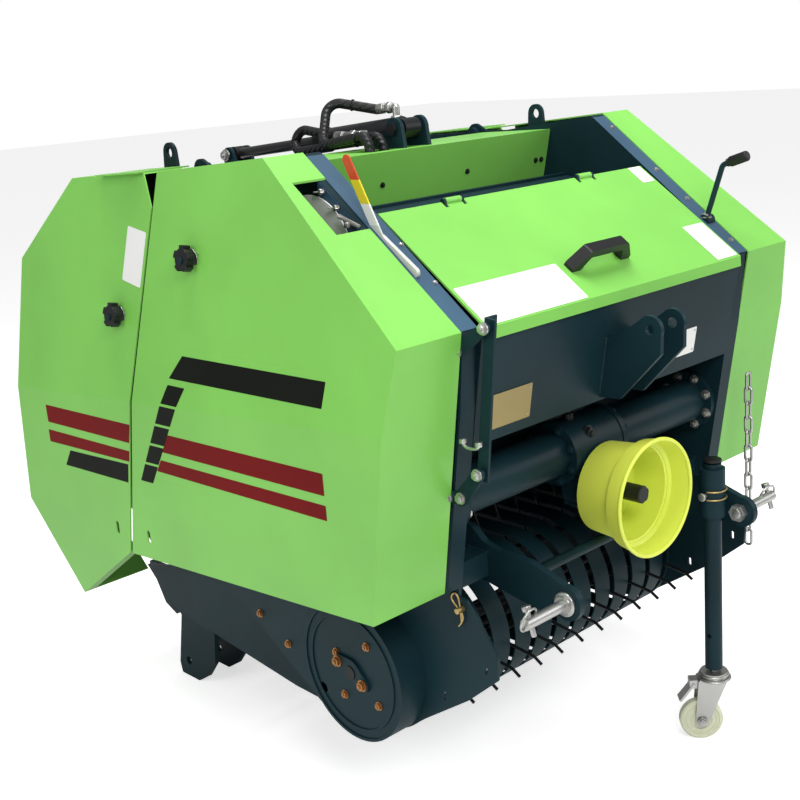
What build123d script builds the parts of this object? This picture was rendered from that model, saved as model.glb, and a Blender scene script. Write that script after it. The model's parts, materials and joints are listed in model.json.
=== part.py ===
from build123d import *
import os
from math import cos, radians, sin

# Round baler for a compact tractor, standing on its front jack and its two rear feet.
# Millimetres. X runs across the machine (+X is its left side), -Y is the hitch end, +Z is up.
# The floor is Z = 0, and Y = 0 is the front edge of the side covers at their crease.
# Side outlines are (Y, Z) points.

# Side covers
cover_half_width = 626.0
cover_inner_x = 448.0
cover_sheet = 3.0
cover_lip = 28.0
cover_lean = 0.178
crease_front = (0.0, 928.0)
crease_rear = (1313.0, 836.0)
front_corner = (-25.0, 1074.0)
top_front = (358.0, 1375.0)
top_split = (712.0, 1346.0)
bottom_front = (60.0, 571.0)
bottom_split = (870.0, 511.0)
split_mid = (787.0, 873.0)
top_rear = (1062.0, 1328.0)
shoulder_rear = (1300.0, 1140.0)
lower_rear = (1339.0, 545.0)
bottom_rear = (1127.0, 346.0)
split_gap = 9.0
hinge_notch = 52.0
cover_slot_front = (790.0, 568.0)
cover_slot_rear = (921.0, 561.0)
cover_slot_height = 30.0
cover_slot_width = 12.0
knob_front = (576.0, 1183.0)
knob_rear = (843.0, 1050.0)
stud_radius = 7.0
stud_gap = 1.0
stud_reach = 30.0
scale_notch = (188.0, 300.0)
scale_notch_x = 526.0
flap_end_y = 925.0
flap_inner_x = 430.0
flap_outer_x = 560.0

# Chamber
chamber_y = 670.0
chamber_z = 820.0
chamber_ring = 430.0
roller_radius = 59.0
roller_rib = 6.0
roller_pitch = 22.5
roller_first = 101.0
roller_wall = 5.0
roller_end = 6.0
front_roller_steps = (0, 1, 2, 3, 4, 8, 9)
rear_roller_steps = (10, 11, 12, 13, 14, 15)
roller_end_gap = 8.0
roller_ribs = 8
shaft_radius = 15.0
running_gap = 0.06

# Side frames
side_inner_x = 404.0
side_plate = 8.0
rail_sheet = 5.0
rail_drop = 4.5
rail_under_cover = 14.0
post_sheet = 6.0

# Tailgate hinge and cylinder
hinge_y = 735.0
hinge_z = 1335.0
hinge_pin_radius = 15.0
hinge_bracket_sheet = 8.0
hinge_washer = 2.0
lug_pivot = (545.0, 1384.0)
rod_pivot = (1180.0, 1326.0)
barrel_radius = 26.0
barrel_length = 300.0
barrel_gland = 30.0
rod_radius = 13.0
clevis_pin_radius = 10.0
clevis_ear = (22.0, 32.0)
clevis_pin_end = 40.0
clevis_foot = (80.0, 12.0)
rod_eye_radius = 19.0
rod_eye_half = 16.0
rod_eye_clearance = 4.0
lug_plate = 10.0
lug_gap = 6.0
hose_radius = 11.0
hose_bend = 28.0
fitting_radius = 8.0
hose_slot = (525.0, 612.0)
hose_slot_x = (-130.0, -50.0)

# Net box and lid
lid_half = 398.0
lid_rear = (219.0, 1260.0)
lid_front = (-36.0, 1073.0)
lid_sheet = 3.0
lid_lip = 22.0
panel_bottom = (8.0, 852.0)
box_sheet = 4.0
handle_x = -6.0
handle_share = 0.26
handle_length = 150.0
handle_lift = 45.0
handle_width = 24.0
lid_knuckle_radius = 7.0
lid_pin_radius = 4.0
lid_knuckle_length = 41.0
lid_ear = 6.0
lid_hinge_places = (-204.5, 196.5)

# Hitch
arm_inner_x = 285.0
arm_plate = 15.0
pin_y = -104.0
pin_z = 542.0
pin_radius = 11.0
pin_tip_x = 413.0
pin_bore_radius = 12.5
mast_half_gap = 32.0
mast_plate = 10.0
mast_hole = (-116.0, 1007.0)
mast_hole_radius = 10.0
cross_rod = (36.0, 542.0)
cross_rod_radius = 11.0

# Gearbox and driveline
tube_y = 100.0
tube_z = 735.0
tube_radius = 47.0
pto_z = 657.0
pto_radius = 17.5
shield_rim_y = -95.0
shield_rim_radius = 120.0
shield_step_y = -50.0
shield_step_radius = 101.0
shield_back_y = 30.0
shield_back_radius = 94.0
shield_wall = 4.0
shield_neck_radius = 46.0
shield_bead = 4.0
stub_end_y = -64.0
stub_shoulder_y = 12.0
neck_front_y = 16.0
stub_shoulder_radius = 24.0
tube_wall = 5.0
gearbox_radius = 64.0
gearbox_half = 70.0
tube_flange_radius = 66.0
tube_flange = 14.0

# Pickup
pickup_y = 314.0
pickup_z = 340.0
band_radius = 151.0
band_sheet = 3.0
band_width = 50.0
tine_reach = 234.0
tine_radius = 3.5
tine_end_gap = 20.0
tine_columns = 12
tine_rows = 3
tine_rest_angle = 187.6
tine_hook = 22.0
tine_hook_angle = 24.0
tine_bar_ring = 84.0
tine_bar_radius = 12.0
spider_plate = 6.0
tine_shift = 10.0
pickup_plate = 6.0
case_outer_x = 479.0
case_radius = 148.0
case_tail = (674.0, 500.0)
case_tail_radius = 96.0
case_sheet = 4.0
case_ridge = 3.0
case_hole = (413.0, 272.0)

# Jack
jack_x = 256.0
jack_y = -55.0
jack_tube_radius = 19.0
collar_radius = 27.0
collar_top = 641.0
collar_bottom = 533.0
jack_tube_top = 652.0
jack_tube_bottom = 192.0
caster_heading = 135.0
caster_trail = 30.0
caster_wheel_radius = 48.0
caster_wheel_width = 24.0
caster_cheek = 3.0
caster_pin_radius = 8.0
axle_radius = 6.0
jack_holes = (585.0, 253.0)
jack_hole_radius = 5.5

# Rear feet
foot_outer_x = 350.0
foot_inner_x = 255.0
foot_plate = 12.0
foot_tube = (1050.0, 149.0)
foot_tube_radius = 25.0
foot_hole = (1151.0, 45.0)
foot_hole_radius = 12.0

# Link bar, bale size scale, lever and chain
link_x = 430.0
link_top = (-67.0, 1102.0)
link_bottom = (-28.0, 808.0)
link_pivot = (2.0, 770.0)
link_pin_low = (-42.0, 822.0)
link_pin_high = (-76.0, 1086.0)
link_width = 24.0
link_sheet = 4.0
scale_foot = (172.0, 1221.0)
scale_tip = (247.0, 1361.0)
scale_width = 20.0
scale_disc = (329.0, 1190.0)
scale_disc_radius = 110.0
scale_disc_x = 465.0
lever_x = 424.0
lever_foot = (66.0, 1141.0)
lever_bend = (23.0, 1261.0)
lever_end = (-26.0, 1276.0)
lever_radius = 6.0
eye_radius = 22.0
eye_hole_radius = 11.0
eye_rear = (850.0, 1371.0)
eye_front = (532.0, 1380.0)
chain_x = 440.0
chain_wire = 3.0
chain_pitch = 33.4
link_bend_radius = 8.0
link_straight = 23.0
chain_strands = ((868, 6), (820, 13))
hook_outline = [(-4.7, 930), (-30, 930), (-36, 835), (-24, 835), (-18, 915), (-2.3, 915), (-4, 925)]

# The origin is on the floor below the middle of the whole machine
middle_y = 599.0


def plate(points, x_from, x_to, corner=0):
    """A plate with a side outline, from one X to another, with rounded corners where a radius is given."""
    face = make_face(Polyline(*points, close=True))
    if corner:
        face = fillet(face.vertices(), corner)
    return extrude(Plane.YZ.offset(x_from) * face, amount=x_to - x_from)


def disc(centre, radius, x_from, x_to):
    """A round bar across the machine."""
    return extrude(Plane.YZ.offset(x_from) * Pos(*centre) * Circle(radius), amount=x_to - x_from)


def strap(circles, x_from, x_to):
    """A flat piece whose outline wraps round circles, each a (centre, radius)."""
    edges = [edge for centre, radius in circles for edge in (Pos(*centre) * Circle(radius)).edges()]
    return extrude(Plane.YZ.offset(x_from) * make_hull(edges), amount=x_to - x_from)


def other_side(shape):
    """The same piece on the machine's right side."""
    return mirror(shape, about=Plane.YZ)


def bar(start, end, radius):
    """A round bar between two points."""
    axis = Vector(*end) - Vector(*start)
    return extrude(Plane(origin=start, z_dir=axis) * Circle(radius), amount=axis.length)


def upright(x, y, radius, bottom, top):
    """A round upright bar."""
    return bar((x, y, bottom), (x, y, top), radius)


def pipe(points, radius, bend):
    """A round bar or hose bent along straight runs joined by arcs."""
    route = FilletPolyline(*points, radius=bend)
    return sweep(Plane(origin=route @ 0, z_dir=route % 0) * Circle(radius), path=route)


def cross_tube(centre, width, height, wall, half):
    """Rectangular tube across the machine."""
    frame = Plane.YZ.offset(-half) * Pos(*centre)
    outer = extrude(frame * Rectangle(width, height), amount=2 * half)
    return outer - extrude(frame * Rectangle(width - 2 * wall, height - 2 * wall), amount=2 * half)


def along(start, end, share):
    """A point on the line between two side points."""
    return (start[0] + (end[0] - start[0]) * share, start[1] + (end[1] - start[1]) * share)


def on_ring(step):
    """Centre of a chamber roller, counted from the top going forwards."""
    angle = radians(roller_first + roller_pitch * step)
    return (chamber_y + chamber_ring * cos(angle), chamber_z + chamber_ring * sin(angle))


side_outer_x = side_inner_x + side_plate
guard_outer_x = side_outer_x + pickup_plate
rail_outer_x = cover_inner_x + rail_under_cover
pickup_axis = (pickup_y, pickup_z)
tine_pitch = 2 * (side_inner_x - tine_end_gap - tine_shift) / (tine_columns - 1)
spider_half = side_inner_x - tine_end_gap / 2
rail_slope = (top_front[1] - front_corner[1]) / (top_front[0] - front_corner[0])
rail_foot = (front_corner[0] + 4, front_corner[1] - rail_drop + 4 * rail_slope)
rail_top = (top_front[0] + 2, top_front[1] - rail_drop + 2 * rail_slope)
hinge = (hinge_y, hinge_z)
lid_hinge = lid_rear


def edge_normal(start, end):
    """Outward normal of an outline edge whose outline runs clockwise."""
    return (0, -(end[1] - start[1]), end[0] - start[0])


def facing(block, normals):
    """The block's faces that look along one of the normals."""
    directions = [Vector(*normal).normalized() for normal in normals]
    return [face for face in block.faces() if any(face.normal_at().dot(way) > 0.999 for way in directions)]


def cover(outline, open_normals):
    """A folded sheet cover: upright below its crease, leaning inwards above it."""
    block = plate(outline, cover_inner_x, cover_half_width)
    run = Vector(0, crease_rear[0] - crease_front[0], crease_rear[1] - crease_front[1])
    lean = Plane(
        origin=(cover_half_width, *crease_front), x_dir=run, z_dir=run.cross(Vector(-cover_lean, 0, 1))
    )
    block = split(block, bisect_by=lean, keep=Keep.BOTTOM)
    return offset(block, amount=-cover_sheet, openings=facing(block, open_normals))


def cover_slot(centre):
    """An upright slot through a cover's lower skin."""
    seat = Plane.YZ.offset(cover_half_width - 2 * cover_sheet) * Pos(*centre) * Rot(0, 0, 90)
    return extrude(seat * SlotOverall(cover_slot_height, cover_slot_width), amount=4 * cover_sheet)


def bottom_lip(start, end):
    """Return flange along a cover's bottom edge."""
    corners = [start, end, (end[0], end[1] + cover_sheet), (start[0], start[1] + cover_sheet)]
    return plate(corners, cover_half_width - cover_lip, cover_half_width - cover_sheet / 2)


def front_cover():
    """Cover of the fixed half."""
    outline = [front_corner, top_front, top_split, split_mid, bottom_split, bottom_front, crease_front]
    rear_edges = [edge_normal(top_split, split_mid), edge_normal(split_mid, bottom_split)]
    shell = cover(outline, [(-1, 0, 0), edge_normal(bottom_split, bottom_front), *rear_edges])
    shell += bottom_lip(bottom_front, bottom_split)
    return shell - cover_slot(cover_slot_front) - disc(knob_front, stud_radius + stud_gap, cover_inner_x, cover_half_width)


def scale_window():
    """Notch in the right cover's slope, over the bale size scale."""
    low, high = scale_notch
    corners = [(low, hinge_z - 150), (high, hinge_z - 150), (high, hinge_z + 60), (low, hinge_z + 60)]
    return plate(corners, -scale_notch_x, -cover_inner_x + 1)


def rear_cover():
    """Cover of the swinging half, with the flap beside the hinge."""
    start = along(top_split, top_rear, hinge_notch / (top_rear[0] - top_split[0]))
    notch_foot = (top_split[0] + 2 * split_gap, hinge_z - 60)
    mid = (split_mid[0] + split_gap, split_mid[1])
    low = (bottom_split[0] + split_gap, bottom_split[1])
    outline = [start, top_rear, shoulder_rear, crease_rear, lower_rear, bottom_rear, low, mid, notch_foot]
    front_edges = [edge_normal(low, mid), edge_normal(mid, notch_foot), edge_normal(notch_foot, start)]
    shell = cover(outline, [(-1, 0, 0), edge_normal(bottom_rear, low), *front_edges])
    shell += bottom_lip(bottom_rear, low)
    flap_end = along(top_split, top_rear, (flap_end_y - top_split[0]) / (top_rear[0] - top_split[0]))
    flap = [start, flap_end, (flap_end[0], flap_end[1] + cover_sheet), (start[0], start[1] + cover_sheet)]
    shell += plate(flap, flap_inner_x, flap_outer_x)
    return shell - cover_slot(cover_slot_rear) - disc(knob_rear, stud_radius + stud_gap, cover_inner_x, cover_half_width)


def cover_stud(centre):
    """Stud that a cover's knob screws onto."""
    crease_z = along(crease_front, crease_rear, centre[0] / crease_rear[0])[1]
    skin_x = cover_half_width - cover_lean * (centre[1] - crease_z)
    return disc(centre, stud_radius, side_outer_x, skin_x + stud_reach)


def side_frame():
    """Laser-cut side plate of the fixed half, with its sloping rail and front post."""
    post_top = (-4, 925)
    post_foot = (58, 569)
    outline = [
        rail_foot,
        rail_top,
        (top_split[0] - 8, top_split[1] - 12),
        (split_mid[0] - 8, split_mid[1]),
        (bottom_split[0] - 8, bottom_split[1] - 4),
        (1090, 352),
        (1190, 330),
        (1104, 252),
        (1040, 232),
        (600, 184),
        (pickup_y + 160, pickup_z - 160),
        (pickup_y - 40, pickup_z - 60),
        (pickup_y - 90, pickup_z + 20),
        (172, 505),
        (72, 500),
        post_foot,
        post_top,
    ]
    side = plate(outline, side_inner_x, side_outer_x)
    rail = [rail_foot, rail_top, (rail_top[0], rail_top[1] - rail_sheet * 1.3), (rail_foot[0] + 3, rail_foot[1] - rail_sheet)]
    side += plate(rail, side_inner_x, rail_outer_x)
    post = [
        rail_foot, (rail_foot[0] + post_sheet, rail_foot[1]), (post_top[0] + post_sheet, post_top[1]),
        (post_foot[0] + post_sheet, post_foot[1]), post_foot, post_top,
    ]
    side += plate(post, side_inner_x, cover_inner_x - post_sheet)
    for step in front_roller_steps:
        side -= disc(on_ring(step), shaft_radius + running_gap, side_inner_x - 1, side_outer_x + 1)
    side -= disc(pickup_axis, shaft_radius + running_gap, side_inner_x - 1, side_outer_x + 1)
    return side + cover_stud(knob_front)


def hinge_bracket():
    """Plate on a side frame, beside the tailgate's side, with the tailgate's hinge pin."""
    reach = side_outer_x + hinge_washer
    bracket = plate([(610, 1270), (700, 1270), (697, 1335), (610, 1340)], side_outer_x, reach)
    outline = [(610, 1262), (690, 1262), (740, 1310), (740, 1342), (610, 1342)]
    bracket += plate(outline, reach, reach + hinge_bracket_sheet)
    bracket += strap([(hinge, 24), ((690, 1310), 24)], reach, reach + hinge_bracket_sheet)
    return bracket + disc(hinge, hinge_pin_radius, side_inner_x - 4, reach)


def lifting_eye(centre, foot_drop):
    """Eye plate outside a side plate."""
    eye = strap([(centre, eye_radius), ((centre[0], centre[1] - foot_drop), eye_radius + 4)], side_outer_x, side_outer_x + 8)
    return eye - disc(centre, eye_hole_radius, side_outer_x - 1, side_outer_x + 9)


def roller(step):
    """Ribbed steel chamber roller on its through shaft."""
    centre = on_ring(step)
    radius = roller_radius
    half = side_inner_x - roller_end_gap
    body = disc(centre, radius, -half, half)
    body -= disc(centre, radius - roller_wall, -half + roller_end, half - roller_end)
    for rib in range(roller_ribs):
        seat = Plane.YZ.offset(-half + 4) * Pos(*centre) * Rot(0, 0, 360 / roller_ribs * rib) * Pos(radius, 0)
        body += extrude(seat * Rectangle(2 * roller_rib, 12), amount=2 * half - 8)
    return body + disc(centre, shaft_radius, -side_outer_x, side_outer_x)


def top_deck():
    """Sheet in front of the tailgate: an upright panel, a deck behind it and a slot for the hoses."""
    outline = [(480, 1344), (700, 1338), (700, 1335), (483, 1341), (516, 1208), (513, 1208)]
    deck = plate(outline, -side_inner_x, side_inner_x)
    low_x, high_x = hose_slot_x
    front, rear = hose_slot
    return deck - plate([(front, 1320), (rear, 1320), (rear, 1360), (front, 1360)], low_x, high_x)


def cylinder_lugs():
    """Two plates on the deck that hold the cylinder's base."""
    inner = barrel_radius + lug_gap
    foot = [(515, 1343.1), (640, 1339.7), (580, 1375), (lug_pivot[0] - 24, lug_pivot[1])]
    lug = plate(foot, inner, inner + lug_plate) + disc(lug_pivot, 24, inner, inner + lug_plate)
    lug -= disc(lug_pivot, clevis_pin_radius + running_gap, inner - 1, inner + lug_plate + 1)
    return lug + other_side(lug)


def box_outline(wall):
    """Side outline of the net box, drawn in from the outside by a wall, or its full size with none."""
    return [
        (lid_front[0] + 6 + wall, lid_front[1] - 16),
        (lid_rear[0] - 4 - wall, lid_rear[1] - 10),
        (lid_rear[0] - 8 - wall, lid_rear[1] - 60),
        (166 - wall, 1000),
        (150 - wall, 872 + wall),
        (panel_bottom[0] + wall, panel_bottom[1] + wall),
    ]


def net_box():
    """Sheet box for the net roll, open at the top, with the ears of the lid's hinges."""
    box = plate(box_outline(0), -side_inner_x, side_inner_x)
    hollow = box_outline(box_sheet)
    hollow[0:2] = [hollow[0], (hollow[0][0], hollow[0][1] + 60), (hollow[1][0], hollow[1][1] + 60), hollow[1]]
    box -= plate(hollow, -side_inner_x + box_sheet, side_inner_x - box_sheet)
    for place in lid_hinge_places:
        for side in (-1, 1):
            inner = place + side * (lid_knuckle_length / 2 + 1)
            low, high = sorted((inner, inner + side * lid_ear))
            box += strap([(lid_hinge, lid_knuckle_radius - 1), ((lid_rear[0] - 9, lid_rear[1] - 30), 4)], low, high)
        box += disc(lid_hinge, lid_pin_radius, place - lid_knuckle_length / 2 - 2, place + lid_knuckle_length / 2 + 2)
    return box


def lid_directions():
    """Unit vectors down the lid and out of its top."""
    down = Vector(0, lid_front[0] - lid_rear[0], lid_front[1] - lid_rear[1]).normalized()
    return down, Vector(0, down.Z, -down.Y)


def net_box_lid():
    """Folded lid with its front lip and two hinge knuckles."""
    down, up = lid_directions()
    under = up * -lid_sheet
    outline = [
        lid_rear,
        lid_front,
        (lid_front[0] - 1, lid_front[1] - lid_lip),
        (lid_front[0] - 1 + lid_sheet, lid_front[1] - lid_lip),
        (lid_front[0] + lid_sheet, lid_front[1] - lid_sheet),
        (lid_rear[0] + under.Y, lid_rear[1] + under.Z),
    ]
    lid = plate(outline, -lid_half, lid_half)
    for place in lid_hinge_places:
        half = lid_knuckle_length / 2
        lid -= disc(lid_hinge, lid_knuckle_radius + 9, place - half - lid_ear - 3, place - half)
        lid -= disc(lid_hinge, lid_knuckle_radius + 9, place + half, place + half + lid_ear + 3)
        lid += disc(lid_hinge, lid_knuckle_radius, place - half, place + half)
        lid -= disc(lid_hinge, lid_pin_radius + running_gap, place - half - 1, place + half + 1)
    return lid


def lid_handle():
    """Bow handle with two feet, square on the lid."""
    down, up = lid_directions()
    half = handle_length / 2
    outline = [
        (-half - 14, 0), (-half - 14, 8), (-half + 18, handle_lift), (half - 18, handle_lift), (half + 14, 8),
        (half + 14, 0), (half - 12, 0), (half - 26, handle_lift - 16), (-half + 26, handle_lift - 16), (-half + 12, 0),
    ]
    face = make_face(Polyline(*outline, close=True))
    face = fillet(face.vertices().filter_by(lambda corner: corner.Y > 1), 7)
    origin = Vector(handle_x, *along(lid_front, lid_rear, handle_share))
    seat = Plane(origin=origin, x_dir=(1, 0, 0), z_dir=down)
    return extrude(seat * face, amount=handle_width / 2, both=True)


def mast():
    """Two plates with round ends for the top link, on the net box's front."""
    outline = [(17, 859), (-3, 981), (-38, 985), (-104, 1031), (-142, 1012), (-140, 961), (-43, 862)]
    side = plate(outline, mast_half_gap, mast_half_gap + mast_plate)
    side += disc(mast_hole, 27, mast_half_gap, mast_half_gap + mast_plate)
    side -= disc(mast_hole, mast_hole_radius, mast_half_gap - 1, mast_half_gap + mast_plate + 1)
    side -= plate(box_outline(0), 0, side_inner_x)
    return side + other_side(side)


def hitch_arm():
    """Lower hitch arm with its tie to the side frame."""
    outline = [
        (168, 652), (126, 640), (96, 616), (60, 606), (-20, 603), (-60, 590), (pin_y - 10, pin_z + 30),
        (pin_y - 32, pin_z), (pin_y - 14, pin_z - 30), (-37, 512), (7, 518), (150, 545),
    ]
    arm = plate(outline, arm_inner_x, arm_inner_x + arm_plate, corner=8)
    arm += disc((pin_y, pin_z), 34, arm_inner_x, arm_inner_x + arm_plate)
    arm -= disc((pin_y, pin_z), pin_bore_radius, arm_inner_x - 1, arm_inner_x + arm_plate + 1)
    arm -= disc(cross_rod, cross_rod_radius + running_gap, arm_inner_x - 1, arm_inner_x + arm_plate + 1)
    tie = plate([(88, 548), (138, 548), (138, 598), (88, 598)], arm_inner_x + arm_plate, side_inner_x)
    tie -= plate([(93, 553), (133, 553), (133, 593), (93, 593)], arm_inner_x + arm_plate, side_inner_x)
    return arm + tie


def hitch_pin():
    """Lower link pin with its collar and nut."""
    centre = (pin_y, pin_z)
    pin = disc(centre, pin_radius, arm_inner_x - 13, pin_tip_x)
    pin += disc(centre, pin_bore_radius, arm_inner_x, arm_inner_x + arm_plate)
    pin += disc(centre, 17, arm_inner_x + arm_plate, arm_inner_x + arm_plate + 12)
    return pin + extrude(Plane.YZ.offset(arm_inner_x - 16) * Pos(*centre) * RegularPolygon(19, 6), amount=16)


def gearbox():
    """Cast bevel gearbox: a drum on the cross tubes' line and a nose for the input shaft."""
    drum = disc((tube_y, tube_z), gearbox_radius, -gearbox_half, gearbox_half)
    nose_seat = Plane.XZ.offset(-tube_y)
    outline = make_hull([*(Pos(0, pto_z) * Circle(58)).edges(), *(Pos(0, tube_z - 24) * Circle(64)).edges()])
    drum += extrude(nose_seat * outline, amount=44)
    neck = loft([nose_seat.offset(44) * Pos(0, pto_z) * Circle(54), nose_seat.offset(64) * Pos(0, pto_z) * Circle(44)])
    drum += neck + extrude(nose_seat.offset(64) * Pos(0, pto_z) * Circle(shield_neck_radius), amount=tube_y - 64 - neck_front_y)
    for side in (-1, 1):
        rib = plate([(38, pto_z - 30), (52, tube_z + 40), (tube_y, tube_z + 50), (tube_y, pto_z - 40)], -5, 5)
        drum += Pos(side * 45, 0, 0) * rib
    bore = extrude(nose_seat.offset(-14) * Pos(0, pto_z) * Circle(stub_shoulder_radius + running_gap), amount=120)
    return drum - bore


def drive_tube():
    """Cross tube between the gearbox and a side frame, flanged at both ends."""
    centre = (tube_y, tube_z)
    tube = disc(centre, tube_radius, gearbox_half, side_inner_x)
    tube += disc(centre, tube_flange_radius, gearbox_half, gearbox_half + tube_flange)
    tube += disc(centre, tube_flange_radius, side_inner_x - tube_flange, side_inner_x)
    return tube - disc(centre, tube_radius - tube_wall, gearbox_half + tube_flange, side_inner_x - tube_flange)


def pto_shaft():
    """Input shaft: the stub, its shoulder in the gearbox's nose and a bevelled end."""
    seat = Plane.XZ.offset(-stub_shoulder_y) * Pos(0, pto_z)
    stub = extrude(seat * Circle(pto_radius), amount=stub_shoulder_y - stub_end_y)
    stub = chamfer(stub.faces().sort_by(Axis.Y)[0].edges(), 2)
    return stub + extrude(seat * Circle(stub_shoulder_radius), amount=-(tube_y - stub_shoulder_y - 4))


def pto_shield():
    """Bell-shaped guard round the input shaft, with a stepped, beaded mouth."""
    back = [(shield_neck_radius, shield_back_y), (shield_back_radius, shield_back_y)]
    outer = [(shield_step_radius, shield_step_y), (shield_rim_radius - 8, shield_step_y - 6), (shield_rim_radius, shield_rim_y)]
    inner = [(radius - shield_wall, y + (0 if y == shield_rim_y else shield_wall)) for radius, y in reversed(outer)]
    front = [(shield_back_radius - shield_wall, shield_back_y - shield_wall), (shield_neck_radius, shield_back_y - shield_wall)]
    shield = revolve(make_face(Polyline(*back, *outer, *inner, *front, close=True)), axis=Axis.Y)
    bead_ring = Rot(90, 0, 0) * Torus(shield_rim_radius - shield_wall / 2, shield_bead)
    return Pos(0, 0, pto_z) * (shield + Pos(0, shield_rim_y + shield_bead / 2, 0) * bead_ring)


def tine_x(column):
    return tine_shift + tine_pitch * (column - (tine_columns - 1) / 2)


def stripper_band(low, high):
    """One bent strap: an arc round the pickup's front and two straight tails."""
    tail = pickup_y + tine_reach + 10
    shape = []
    for radius, end in ((band_radius, tail), (band_radius - band_sheet, tail + 1)):
        corners = [
            (pickup_y, pickup_z - radius), (end, pickup_z - radius), (end, pickup_z + radius), (pickup_y, pickup_z + radius)
        ]
        shape.append(plate(corners, low, high) + disc(pickup_axis, radius, low, high))
    return shape[0] - shape[1]


def pickup_bands():
    """Stripper bands between the tines, on two cross bars behind the tines' circle."""
    gap = (tine_pitch - band_width) / 2
    starts = [-side_inner_x] + [tine_x(column) + gap for column in range(tine_columns)]
    ends = [tine_x(column) - gap for column in range(tine_columns)] + [side_inner_x]
    bands = [stripper_band(low, high) for low, high in zip(starts, ends)]
    for side in (-1, 1):
        seat = Plane.YZ.offset(-side_inner_x) * Pos(pickup_y + tine_reach + 2, pickup_z + side * (band_radius - 11))
        bands.append(extrude(seat * Rectangle(16, 16), amount=2 * side_inner_x))
    return Part() + bands


def tine(angle, x):
    """One spring tine with its hooked tip, from its bar outwards."""
    seat = Plane(origin=(x, pickup_y, pickup_z), x_dir=(1, 0, 0), z_dir=(0, cos(radians(angle)), sin(radians(angle))))
    straight = tine_reach - tine_hook
    rod = extrude(seat.offset(tine_bar_ring) * RegularPolygon(tine_radius, 6), amount=straight - tine_bar_ring)
    tip = Pos(0, 0, straight - 1) * Rot(tine_hook_angle, 0, 0) * extrude(RegularPolygon(tine_radius, 6), amount=tine_hook)
    return rod + seat * tip


def pickup_reel():
    """Tined reel: through shaft, spider plates, tine bars and four rows of tines."""
    reel = disc(pickup_axis, shaft_radius, -case_outer_x - 8, guard_outer_x + 4)
    angles = [tine_rest_angle + 360 / tine_rows * row for row in range(tine_rows)]
    bars = [
        (pickup_y + tine_bar_ring * cos(radians(angle)), pickup_z + tine_bar_ring * sin(radians(angle)))
        for angle in angles
    ]
    pieces = []
    for x in (-spider_half, -spider_plate / 2, spider_half - spider_plate):
        pieces.append(disc(pickup_axis, 34, x, x + spider_plate))
        for centre in bars:
            pieces.append(strap([(pickup_axis, 20), (centre, tine_bar_radius + 8)], x, x + spider_plate))
    for angle, centre in zip(angles, bars):
        pieces.append(disc(centre, tine_bar_radius, -spider_half, spider_half))
        pieces.extend(tine(angle, tine_x(column)) for column in range(tine_columns))
    return reel + pieces


def pickup_side_plate():
    """End plate of the pickup, reaching forwards past the tines."""
    outline = [
        (100, 562), (36, 552), (8, 519), (-38, 458), (-33, 409), (48, 341), (260, 200), (400, 178), (480, 210),
        (512, 320), (470, 430), (300, 500),
    ]
    side = plate(outline, side_outer_x, guard_outer_x, corner=6)
    for slot in ((-4, 424), (112, 330)):
        seat = Plane.YZ.offset(side_outer_x - 1) * Pos(*slot) * Rot(0, 0, 90)
        side -= extrude(seat * SlotOverall(20, 8), amount=pickup_plate + 2)
    return side - disc(pickup_axis, shaft_radius + running_gap, side_outer_x - 1, guard_outer_x + 1)


def pickup_drive_case():
    """Closed case of the pickup's chain drive, a teardrop with ridged rims and a bolted hub."""
    circles = [(pickup_axis, case_radius), (case_tail, case_tail_radius)]
    inner_circles = [(centre, radius - case_sheet) for centre, radius in circles]
    case = strap(circles, guard_outer_x, case_outer_x)
    case -= strap(inner_circles, guard_outer_x + case_sheet, case_outer_x - case_sheet)
    for outer, inner in ((case_radius, case_radius - 6), (case_radius - 22, case_radius - 26)):
        case += disc(pickup_axis, outer, case_outer_x, case_outer_x + case_ridge) - disc(
            pickup_axis, inner, case_outer_x, case_outer_x + case_ridge
        )
    hub = strap([(pickup_axis, 30), (along(pickup_axis, case_tail, 0.1), 16), (along(pickup_axis, case_tail, -0.1), 16)],
                case_outer_x, case_outer_x + 6)
    case += hub
    case -= disc(case_hole, 12, case_outer_x - case_sheet - 1, case_outer_x + 1)
    case -= disc(pickup_axis, shaft_radius + running_gap, guard_outer_x - 1, case_outer_x + 7)
    return other_side(case)


def tailgate_side():
    """Side plate of the swinging half, with the flange that its cover lies on."""
    outline = [
        (hinge_y - 22, hinge_z - 2), (hinge_y - 12, hinge_z + 8), (hinge_y + 30, hinge_z + 2), (1052, 1308),
        (1280, 1128), (1290, 836), (1316, 556), (1130, 376), (bottom_split[0] + 16, bottom_split[1] + 22),
        (split_mid[0] + 8, split_mid[1]),
    ]
    side = plate(outline, side_inner_x, side_outer_x)
    top_slope = (top_rear[1] - top_split[1]) / (top_rear[0] - top_split[0])
    front_y, rear_y = hinge_y + 45, top_rear[0] - 12
    front_z = top_split[1] + top_slope * (front_y - top_split[0]) - rail_drop
    rear_z = top_split[1] + top_slope * (rear_y - top_split[0]) - rail_drop
    flange = [(front_y, front_z), (rear_y, rear_z), (rear_y, rear_z - 18), (front_y, front_z - 6)]
    side += plate(flange, side_inner_x, rail_outer_x)
    side -= disc(hinge, hinge_pin_radius + running_gap, side_inner_x - 1, side_outer_x + 1)
    for step in rear_roller_steps:
        side -= disc(on_ring(step), shaft_radius + running_gap, side_inner_x - 1, side_outer_x + 1)
    return side + cover_stud(knob_rear)


def tailgate_beams():
    """Three tubes across the tailgate."""
    beams = cross_tube((1255, 1090), 40, 60, 4, side_inner_x) + cross_tube((1285, 570), 40, 60, 4, side_inner_x)
    return beams + cross_tube((1150, 1200), 60, 40, 4, side_inner_x)


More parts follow.
